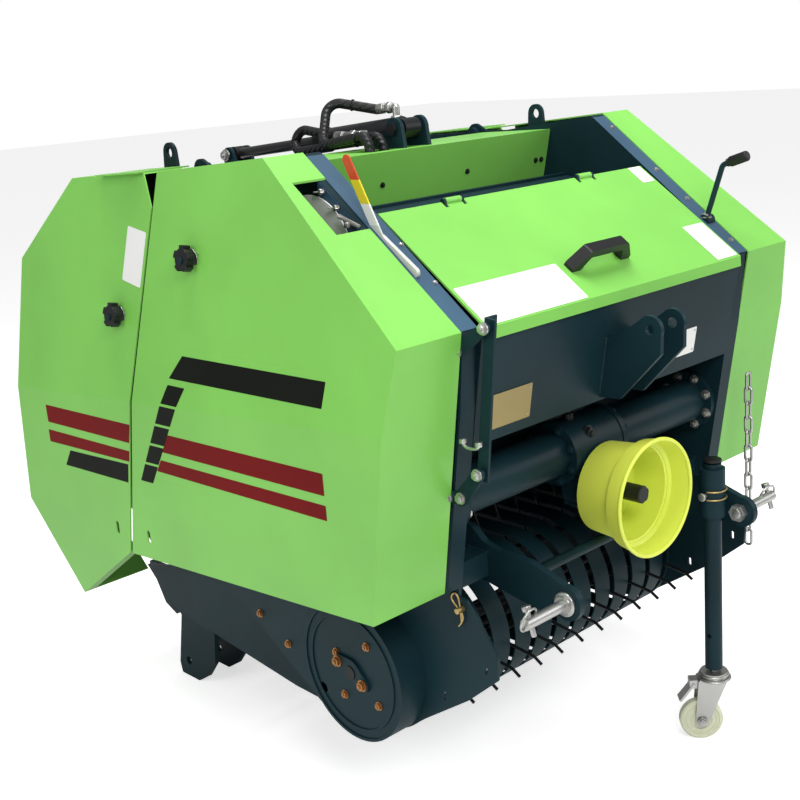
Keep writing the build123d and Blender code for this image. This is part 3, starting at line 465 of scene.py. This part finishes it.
class BALER_OT_paint_frame(bpy.types.Operator):
    """Give every part of the frame its finish"""

    bl_idname = "baler.paint_frame"
    bl_label = "Paint the Frame"

    def execute(self, context):
        by_node = {part["node"]: part["material_slot"] for part in frame["record"]["subparts"]}
        for name, node in frame["nodes"].items():
            node.data.materials.clear()
            node.data.materials.append(paint(by_node[name]))
            only(node)
        for name, coat in (("hydraulic_hoses", sleeve_paint()), ("cylinder_rod", paint("bright_rod"))):
            frame["nodes"][name].data.materials[0] = coat
        scale = frame["nodes"]["density_scale"]
        bands = [
            (1080, (0.6, 0.6, 0.58)), (1246, (0.8, 0.8, 0.78)),
            (1283, (0.75, 0.62, 0.03)), (1326, (0.62, 0.06, 0.03)),
        ]
        scale.data.materials[0] = banded_paint("scale_bands", "zinc", "Z", bands)
        scale.data.materials[0].node_tree.nodes["Principled BSDF"].inputs["Metallic"].default_value = 0.2
        scale.data.materials.append(paint("label_white"))
        for face in scale.data.polygons:
            if face.center.x < -0.455:
                face.material_index = 1
        clear_selection()
        return {"FINISHED"}


class BALER_OT_side_stripes(bpy.types.Operator):
    """Lay the films, the red stripes and the black squares on the side covers"""

    bl_idname = "baler.side_stripes"
    bl_label = "Side Stripes"

    films = {
        "front": [(606, 1006), (139, 1015), (155, 742), (748, 712)],
        "rear": [(1132, 979), (800, 986), (842, 690), (1190, 675)],
    }
    stripes = [
        ("black_bar", "stripe_black", "front", [(600, 992), (150, 1001), (158, 953), (646, 942)]),
        ("upper_red_rear", "stripe_red", "rear", [(1183, 809), (808, 820), (820, 777), (1182, 767)]),
        ("upper_red_front", "stripe_red", "front", [(664, 822), (164, 835), (164, 793), (690, 780)]),
        ("lower_red_rear", "stripe_red", "rear", [(1186, 748), (824, 758), (830, 733), (1186, 718)]),
        ("lower_red_front", "stripe_red", "front", [(700, 761), (163, 775), (163, 746), (720, 733)]),
        ("black_band", "stripe_black", "rear", [(1093, 712), (836, 726), (846, 682), (1124, 671)]),
    ]
    squares_top = ((646, 935), (584, 936))
    squares_bottom = ((790, 700), (742, 702))
    square_count = 5

    def film(self, side, corners, lift):
        """A thin film on one side's cover, with its outer face lifted by that much."""
        ordered = corners if side == RIGHT else corners[::-1]
        return sheet([cover_skin(y, z, side, lift) for y, z in ordered], 0.08, 2.0)

    def execute(self, context):
        for hand, side in (("right", RIGHT), ("left", LEFT)):
            self.lay_side(hand, side)
        return {"FINISHED"}

    def lay_side(self, hand, side):
        bodies = {"front": "baler", "rear": "tailgate"}
        for half, corners in self.films.items():
            film = self.film(side, corners, 0.06)
            finish(film, f"stripe_film_{half}_{hand}", "stripe_film", bodies[half])
        for name, coat, half, corners in self.stripes:
            finish(self.film(side, corners, 0.13), f"stripe_{name}_{hand}", coat, bodies[half])
        squares = []
        for count in range(self.square_count):
            low, high = count / self.square_count + 0.028, (count + 1) / self.square_count + 0.004
            corners = []
            for end, share in ((0, low), (1, low), (1, high), (0, high)):
                top, bottom = Vector(self.squares_top[end]), Vector(self.squares_bottom[end])
                corners.append(tuple(top.lerp(bottom, share)))
            squares.append(self.film(side, corners, 0.2))
        finish(joined(squares), "stripe_squares_" + hand, "stripe_black", "baler")


class BALER_OT_labels(bpy.types.Operator):
    """Stick the blank labels and rivet the blank plates"""

    bl_idname = "baler.labels"
    bl_label = "Labels and Plates"

    lid_labels = (("right", -392, -114, 46, -33), ("left", 318, 392, 56, -32))
    cover_label = ((746, 1225), (764, 1112), (836, 1124), (818, 1236))
    panel_plates = (
        ("type_plate", "brass_plate", -388, -255, 874, 941),
        ("small_plate", "label_white", 191, 272, 886, 942),
    )

    def execute(self, context):
        for name, x_from, x_to, rear, front in self.lid_labels:
            corners = [on_lid(x_from, front), on_lid(x_to, front), on_lid(x_to, rear), on_lid(x_from, rear)]
            finish(sheet(corners, 0.35, 4), "lid_label_" + name, "label_white", "lid")
        corners = [on_lid(350, 176), on_lid(392, 176), on_lid(392, 218), on_lid(350, 218)]
        finish(sheet(corners, 0.35, 2), "lid_label_small", "label_white", "lid")
        for side, name in ((RIGHT, "right"), (LEFT, "left")):
            corners = [cover_skin(y, z, side, 0.3) for y, z in self.cover_label]
            label = sheet(corners if side == LEFT else corners[::-1], 0.35, 4)
            finish(label, "cover_label_" + name, "label_white", "tailgate")
        for name, coat, x_from, x_to, low, high in self.panel_plates:
            outline = ((x_from, low), (x_to, low), (x_to, high), (x_from, high))
            corners = [on_panel(x, z) for x, z in outline]
            plate = finish(sheet(corners, 0.9, 3), name, coat, "baler")
            inset = 7
            rivets = []
            for x in (x_from + inset, x_to - inset):
                rivets += [(on_panel(x, z, 1.2), FORWARD, 2.2) for z in (low + inset, high - inset)]
            clear_selection()
            bpy.ops.mesh.primitive_uv_sphere_add(segments=16, ring_count=8, radius=MM)
            finish(spread(settle(bpy.context.object), rivets), name + "_rivets", "zinc", "baler")
        return {"FINISHED"}


class BALER_OT_cover_knobs(bpy.types.Operator):
    """Put the hand knobs on the covers' studs"""

    bl_idname = "baler.cover_knobs"
    bl_label = "Cover Knobs"

    knobs = {"front": ((576, 1183), "baler"), "rear": ((843, 1050), "tailgate")}

    def execute(self, context):
        radius = context.scene.baler_sizes.knob_radius
        for name, ((y, z), body) in self.knobs.items():
            places = []
            for side in (RIGHT, LEFT):
                places.append((cover_skin(y, z, side, 1), ACROSS * side + UP * COVER_LEAN, radius))
            finish(spread(star_knob(), places), "cover_knobs_" + name, "black_grip", body, 30)
            washers = [
                round_bar(cover_skin(y, z, side, -0.2), cover_skin(y, z, side, 2), radius * 0.85, 0.4)
                for side in (RIGHT, LEFT)
            ]
            finish(joined(washers), "knob_washers_" + name, "zinc", body)
        return {"FINISHED"}


class BALER_OT_drive_bolts(bpy.types.Operator):
    """Bolt up the cross tubes, the gearbox and the pickup's drive case"""

    bl_idname = "baler.drive_bolts"
    bl_label = "Drive Bolts"

    tube = (100, 735)
    ring_radius = 56
    case_bolts = (
        (613, 384), (521, 339), (359, 371), (342, 281), (238, 290),
        (262, 412), (452, 470), (600, 575), (700, 560),
    )

    def execute(self, context):
        sizes = context.scene.baler_sizes
        places = []
        for side in (RIGHT, LEFT):
            for x, way in ((84, side), (390, -side)):
                for count in range(sizes.flange_bolts):
                    turn = 2 * pi * (count + 0.5) / sizes.flange_bolts
                    y = self.tube[0] + self.ring_radius * cos(turn)
                    z = self.tube[1] + self.ring_radius * sin(turn)
                    places.append((at(side * x, y, z), ACROSS * way, sizes.bolt_radius))
        half_way = 200 * MM
        painted = [place for place in places if abs(place[0].x) < half_way]
        bright = [place for place in places if abs(place[0].x) > half_way]
        finish(spread(hex_bolt(), painted), "gearbox_flange_bolts", "teal_paint", "baler")
        finish(spread(hex_bolt(), bright), "side_flange_bolts", "zinc", "baler")
        case = [(at(-479, y, z), -ACROSS, 7.5) for y, z in self.case_bolts]
        case += [(at(-485, y, z), -ACROSS, 10) for y, z in ((350, 356), (278, 324))]
        finish(spread(hex_bolt(), case), "case_bolts", "copper_bolt", "baler")
        plug = spread(hex_bolt(), [(at(-22, 57, 772), FORWARD, 13)])
        finish(plug, "gearbox_plug", "black_steel", "baler")
        filler = [
            round_bar(at(-34, 96, 796), at(-34, 96, 812), 12, 2),
            round_bar(at(-34, 96, 811), at(-34, 96, 818), 7, 2),
        ]
        finish(joined(filler), "gearbox_filler", "black_grip", "baler")
        return {"FINISHED"}


class BALER_OT_input_shaft(bpy.types.Operator):
    """Cut the splines of the input shaft and fit its collar"""

    bl_idname = "baler.input_shaft"
    bl_label = "Splined Input Shaft"

    def execute(self, context):
        count = context.scene.baler_sizes.splines
        clear_selection()
        bpy.ops.mesh.primitive_cylinder_add(vertices=count * 8, radius=15.2 * MM, depth=54 * MM)
        shaft = bpy.context.object
        shape_up(shaft, lambda centre, normal: abs(normal.z) < 0.5 and share_of_turn(centre, count) < 0.5)
        bpy.ops.mesh.extrude_region_shrink_fatten(TRANSFORM_OT_shrink_fatten={"value": 2.8 * MM})
        done_shaping()
        shaft.matrix_world = Matrix.Translation(at(0, -36, INPUT_Z)) @ turned_to(FORWARD)
        settle(shaft)
        collar = round_bar(at(0, -9, INPUT_Z), at(0, 12, INPUT_Z), 21, 1.5)
        finish(joined([shaft, collar]), "input_splines", "black_steel", "input_shaft")
        return {"FINISHED"}


class BALER_OT_hitch_pins(bpy.types.Operator):
    """Fit the lynch pins, their rings, the nuts and the spring clips"""

    bl_idname = "baler.hitch_pins"
    bl_label = "Hitch Pins"

    pin = (-104, 542)

    def execute(self, context):
        y, z = self.pin
        pieces = []
        for side in (RIGHT, LEFT):
            x = side * 399
            pieces.append(round_bar(at(x, y - 8, z - 26), at(x, y + 8, z + 26), 5, 1.5))
            pieces.append(round_bar(at(x, y + 6, z + 20), at(x, y + 9, z + 30), 9, 2))
            pieces.append(ring(at(x, y + 4, z + 4), Vector((side * 0.15, 1, 0.35)), 23, 2.4))
            pieces.append(round_bar(at(side * 300, y, z), at(side * 306, y, z), 24, 1.5))
            pieces.append(round_bar(at(side * 285, y, z), at(side * 268, y, z), 11, 1.5))
        finish(joined(pieces), "lynch_pins", "zinc", "baler")
        clips = []
        for side in (RIGHT, LEFT):
            route = [(8, -26), (8, 14), (20, 34), (34, 18), (20, 4), (8, -2), (2, -14), (8, -28), (16, -36)]
            clips.append(wire([at(side * 424, 37 + dy, 534 + dz) for dy, dz in route], 1.8))
            clips.append(round_bar(at(side * 418, 45, 534), at(side * 436, 45, 534), 6, 1))
        finish(joined(clips), "spring_clips", "gold_zinc", "baler")
        return {"FINISHED"}


class BALER_OT_scale_fittings(bpy.types.Operator):
    """Build the plate, the wing screws and the pointer in the right cover's notch"""

    bl_idname = "baler.scale_fittings"
    bl_label = "Scale Fittings"

    def on_slope(self, x, y, depth=0.0):
        return at(x, y, 1375 + (y - 358) * COVER_SLOPE - depth)

    def execute(self, context):
        outline = ((306, 6), (192, 6), (192, 70), (306, 110))
        corners = [self.on_slope(-463, y, depth) for y, depth in outline]
        finish(sheet(corners, 2, 3), "scale_plate", "rail_blue", "baler")
        slope = Vector((0, -COVER_SLOPE, 1))
        places = [(at(-466, 288, 1307), -ACROSS, 13), (at(-466, 250, 1279), -ACROSS, 13)]
        finish(spread(wing_screw(), places), "wing_screws", "zinc", "baler")
        tail, tip = at(-485, 223, 1266), at(-467, 199, 1248)
        pointer = [
            block((tail + tip) / 2, (4, 8, 44), turned_to(tip - tail), 1),
            round_bar(self.on_slope(-478, 214, 16), self.on_slope(-478, 214, 6), 6, 1),
        ]
        finish(joined(pointer), "scale_pointer", "zinc", "baler")
        screws = [(self.on_slope(-410, y, 3), slope, 4) for y in (70, 150)]
        screws += [(self.on_slope(432, y, 3), slope, 5) for y in (10, 120, 200, 320)]
        # Thin blue skins over both rails: a painted reflection of the sky on their upward faces.
        front, rear = -21, 352
        for name, side in (("right", RIGHT), ("left", LEFT)):
            outline = ((404, front), (447, front), (447, rear), (404, rear))
            corners = [self.on_slope(side * x, y, 2.6) for x, y in outline]
            finish(sheet(corners, 0.4, 0), "rail_skin_" + name, "rail_blue", "baler")
        finish(spread(hex_bolt(), screws), "rail_screws", "zinc", "baler")
        back = Vector((0, -0.97, -0.235))
        deck = [(at(x, 497, 1275), back, 5) for x in (-385, -365, -130, 130, 365, 385)]
        finish(spread(hex_bolt(), deck), "deck_screws", "black_steel", "baler")
        return {"FINISHED"}


class BALER_OT_link_fittings(bpy.types.Operator):
    """Bolt the link bar's ends and fit its clamp, and the lever's grip"""

    bl_idname = "baler.link_fittings"
    bl_label = "Link and Lever Fittings"

    def execute(self, context):
        places = ((2, 770), (-42, 822), (-76, 1086), (-11, 1040), (34, 766))
        bolts = [(at(-448, y, z), -ACROSS, 9) for y, z in places]
        bolts.append((at(424, 66, 1147), ACROSS * 0.01 + UP, 10))
        finish(spread(hex_bolt(), bolts), "link_bolts", "zinc", "baler")
        clamp = wire([at(-450, y, z) for y, z in ((-52, 880), (-52, 870), (-14, 868), (-14, 880))], 3)
        nuts = [round_bar(at(-450, y, 876), at(-450, y, 884), 7, 1, 6) for y in (-52, -14)]
        finish(joined([clamp, *nuts]), "link_clamp", "zinc", "baler")
        start, end = at(424, 6, 1267), at(424, -38, 1281)
        collar = round_bar(start + (start - end) * 0.12, start, 9, 1.5)
        grip = joined([round_bar(start, end, 11, 4), collar])
        finish(grip, "lever_grip", "black_grip", "baler")
        return {"FINISHED"}


class BALER_OT_cylinder_fittings(bpy.types.Operator):
    """Crimp the hoses' ends, tighten their nuts and clamp them together"""

    bl_idname = "baler.cylinder_fittings"
    bl_label = "Cylinder Fittings"

    def execute(self, context):
        nuts = [
            round_bar(at(0, 590, 1428), at(0, 604, 1427), 13, 1.5, 6),
            round_bar(at(0, 577, 1398), at(0, 577, 1410), 13, 1.5, 6),
            round_bar(at(-44, 668, 1371), at(-44, 682, 1371), 13, 1.5, 6),
            round_bar(at(0, 612, 1427), at(0, 634, 1425), 11.5, 1.5),
            round_bar(at(-44, 706, 1370), at(-44, 734, 1370), 11.5, 1.5),
        ]
        finish(joined(nuts), "hose_nuts", "zinc", "barrel")
        ties = [
            ring(at(-108, 590, 1371), Vector((0.1, 1, 0)), 11.4, 2),
            ring(at(-67, 640, 1361), Vector((0, 1, -0.12)), 11.4, 2),
            ring(at(-24, 694, 1437), Vector((-0.4, 1, 0.2)), 11.4, 2),
        ]
        gland = [round_bar(at(0, 838, 1357.2), at(0, 848, 1356.3), 24, 2)]
        finish(joined(ties + gland), "hose_ties", "black_steel", "barrel")
        pins = [(at(side * 38, 1180, 1326), ACROSS * side, 12) for side in (RIGHT, LEFT)]
        finish(spread(hex_bolt(), pins), "rod_pin_heads", "zinc", "tailgate")
        return {"FINISHED"}


class BALER_OT_jack_fittings(bpy.types.Operator):
    """Fit the jack's cap, its pin and hairpin, and the caster's hub, nuts and race"""

    bl_idname = "baler.jack_fittings"
    bl_label = "Jack Fittings"

    def execute(self, context):
        pin = [
            round_bar(at(218, -55, 585), at(234, -55, 585), 5, 1.2),
            round_bar(at(278, -55, 585), at(292, -55, 585), 5, 1.2),
            round_bar(at(213, -55, 585), at(219, -55, 585), 9, 1.5),
        ]
        finish(joined(pin), "jack_pin", "zinc", "baler")
        turns = [radians(angle) for angle in range(-170, -5, 15)]
        reach, half_gap, pin_z = 29.5, 9, 585
        across = [(JACK_X + reach * cos(turn), JACK_Y + reach * sin(turn)) for turn in turns]
        clasp = [at(x, y, pin_z + half_gap) for x, y in across]
        clasp.append(at(298, -62, pin_z))
        clasp += [at(x, y, pin_z - half_gap) for x, y in reversed(across)]
        finish(wire(clasp, 1.8), "jack_clasp", "gold_zinc", "baler")
        cap = round_bar(at(JACK_X, JACK_Y, 655), at(JACK_X, JACK_Y, 661), 20, 2)
        finish(cap, "jack_cap", "black_grip", "jack_leg")
        heading = radians(CASTER_HEADING)
        axle = Vector((-sin(heading), cos(heading), 0))
        trail = Vector((cos(heading), sin(heading), 0)) * CASTER_TRAIL * MM
        centre = at(JACK_X, JACK_Y, CASTER_AXLE_Z) + trail
        nuts = [(centre + axle * side * 22 * MM, axle * side, 9) for side in (-1, 1)]
        finish(spread(hex_bolt(), nuts), "caster_nuts", "zinc", "caster")
        hub = [round_bar(centre - axle * 13 * MM, centre + axle * 13 * MM, 16, 2)]
        for side in (-1, 1):
            hub += [ring(centre + axle * side * 9.6 * MM, axle, radius, 1.2) for radius in (24, 34)]
        finish(joined(hub), "caster_hub", "nylon", "caster_wheel")
        races = ((158, 31), (149, 35.5))
        race = [ring(at(JACK_X, JACK_Y, height), UP, radius, 2.4) for height, radius in races]
        finish(joined(race), "caster_race", "zinc", "caster")
        return {"FINISHED"}


class BALER_OT_weld_beads(bpy.types.Operator):
    """Run the weld beads where plates meet the frame"""

    bl_idname = "baler.weld_beads"
    bl_label = "Weld Beads"

    def bead(self, start, end, radius=3.0):
        run = end - start
        count = max(2, int(run.length / (radius * 1.1 * MM)))
        clear_selection()
        bpy.ops.mesh.primitive_uv_sphere_add(segments=10, ring_count=6, radius=radius * MM)
        drop = settle(bpy.context.object)
        return spread(drop, [(start + run * (step / count), run, 1.0) for step in range(count + 1)])

    def execute(self, context):
        beads = []
        for side in (RIGHT, LEFT):
            beads.append(self.bead(at(side * 404, 88, 598), at(side * 404, 138, 598)))
            beads.append(self.bead(at(side * 301, 88, 598), at(side * 301, 138, 598)))
            beads.append(self.bead(at(side * 31, 5, 868), at(side * 31, -16, 981)))
            beads.append(self.bead(at(side * 43, 5, 868), at(side * 43, -16, 981)))
            beads.append(self.bead(at(side * 338, 1028, 170), at(side * 338, 1040, 128)))
        finish(joined(beads), "weld_beads", "teal_paint", "baler", 60)
        return {"FINISHED"}


class BALER_OT_stage(bpy.types.Operator):
    """Set the floor, the soft light and the photograph's camera"""

    bl_idname = "baler.stage"
    bl_label = "Stage"

    lamps = (
        ("key", (-1900, -2900, 3400), 95, 1.6),
        ("side", (-3800, 700, 2300), 42, 2.0),
        ("fill", (2600, -2400, 2400), 36, 2.4),
        ("top", (0, 300, 4200), 125, 2.0),
    )

    def for_camera_alone(self, tree, socket, lighting, seen):
        """Give a socket one value as it lights the machine and another as the camera sees it."""
        path = tree.nodes.new("ShaderNodeLightPath")
        blend = tree.nodes.new("ShaderNodeMapRange")
        blend.inputs["To Min"].default_value = lighting
        blend.inputs["To Max"].default_value = seen
        tree.links.new(path.outputs["Is Camera Ray"], blend.inputs["Value"])
        tree.links.new(blend.outputs["Result"], socket)

    def execute(self, context):
        clear_selection()
        bpy.ops.mesh.primitive_plane_add(size=60)
        floor = bpy.context.object
        floor.name = "floor"
        pale = bpy.data.materials.new("pale_floor")
        pale.use_nodes = True
        surface = pale.node_tree.nodes["Principled BSDF"]
        surface.inputs["Base Color"].default_value = (0.9, 0.9, 0.9, 1)
        surface.inputs["Roughness"].default_value = 0.8
        surface.inputs["Emission Color"].default_value = (1, 1, 1, 1)
        self.for_camera_alone(pale.node_tree, surface.inputs["Emission Strength"], 0.0, 0.6)
        floor.data.materials.append(pale)
        world = context.scene.world or bpy.data.worlds.new("studio")
        context.scene.world = world
        world.use_nodes = True
        sky = world.node_tree.nodes["Background"]
        sky.inputs["Color"].default_value = (1, 1, 1, 1)
        self.for_camera_alone(world.node_tree, sky.inputs["Strength"], 0.32, 1.0)
        context.scene.view_settings.view_transform = "Standard"
        for name, place, power, size in self.lamps:
            bpy.ops.object.light_add(type="AREA", location=at(*place))
            lamp = bpy.context.object
            lamp.name = name + "_lamp"
            lamp.data.energy = power
            lamp.data.size = size
            lamp.rotation_euler = (at(0, 500, 600) - lamp.location).to_track_quat("-Z", "Y").to_euler()
        view = Vector(CAMERA_VIEW).normalized()
        level = view.cross(UP).normalized()
        upright = level.cross(view)
        tilt = sin(radians(CAMERA_TILT)) / upright.z
        across = (level * (1 - tilt * tilt) ** 0.5 + upright * tilt).normalized()
        upright = across.cross(view)
        bpy.ops.object.camera_add()
        camera = bpy.context.object
        camera.data.sensor_width = 36
        camera.data.lens = CAMERA_LENS
        camera.data.clip_end = 100
        turn = Matrix((across, upright, -view)).transposed().to_4x4()
        camera.matrix_world = Matrix.Translation(at(*CAMERA_PLACE)) @ turn
        context.scene.camera = camera
        return {"FINISHED"}


STEPS = (
    BALER_OT_paint_frame, BALER_OT_side_stripes, BALER_OT_labels, BALER_OT_cover_knobs, BALER_OT_drive_bolts,
    BALER_OT_input_shaft, BALER_OT_hitch_pins, BALER_OT_scale_fittings, BALER_OT_link_fittings,
    BALER_OT_cylinder_fittings, BALER_OT_jack_fittings, BALER_OT_weld_beads, BALER_OT_stage,
)


class BALER_PT_panel(bpy.types.Panel):
    bl_label = "Round Baler"
    bl_space_type = "VIEW_3D"
    bl_region_type = "UI"
    bl_category = "Baler"

    def draw(self, context):
        for group in (context.scene.baler_colours, context.scene.baler_sizes):
            for name in group.__annotations__:
                self.layout.prop(group, name)
        for step in STEPS:
            self.layout.operator(step.bl_idname)


CLASSES = (BalerColours, BalerSizes, *STEPS, BALER_PT_panel)


def register():
    for entry in CLASSES:
        bpy.utils.register_class(entry)
    bpy.types.Scene.baler_colours = PointerProperty(type=BalerColours)
    bpy.types.Scene.baler_sizes = PointerProperty(type=BalerSizes)


def unregister():
    del bpy.types.Scene.baler_sizes
    del bpy.types.Scene.baler_colours
    for entry in reversed(CLASSES):
        bpy.utils.unregister_class(entry)


def main():
    register()
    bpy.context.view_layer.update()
    for step in STEPS:
        group, name = step.bl_idname.split(".")
        getattr(getattr(bpy.ops, group), name)()


if __name__ == "__main__":
    main()
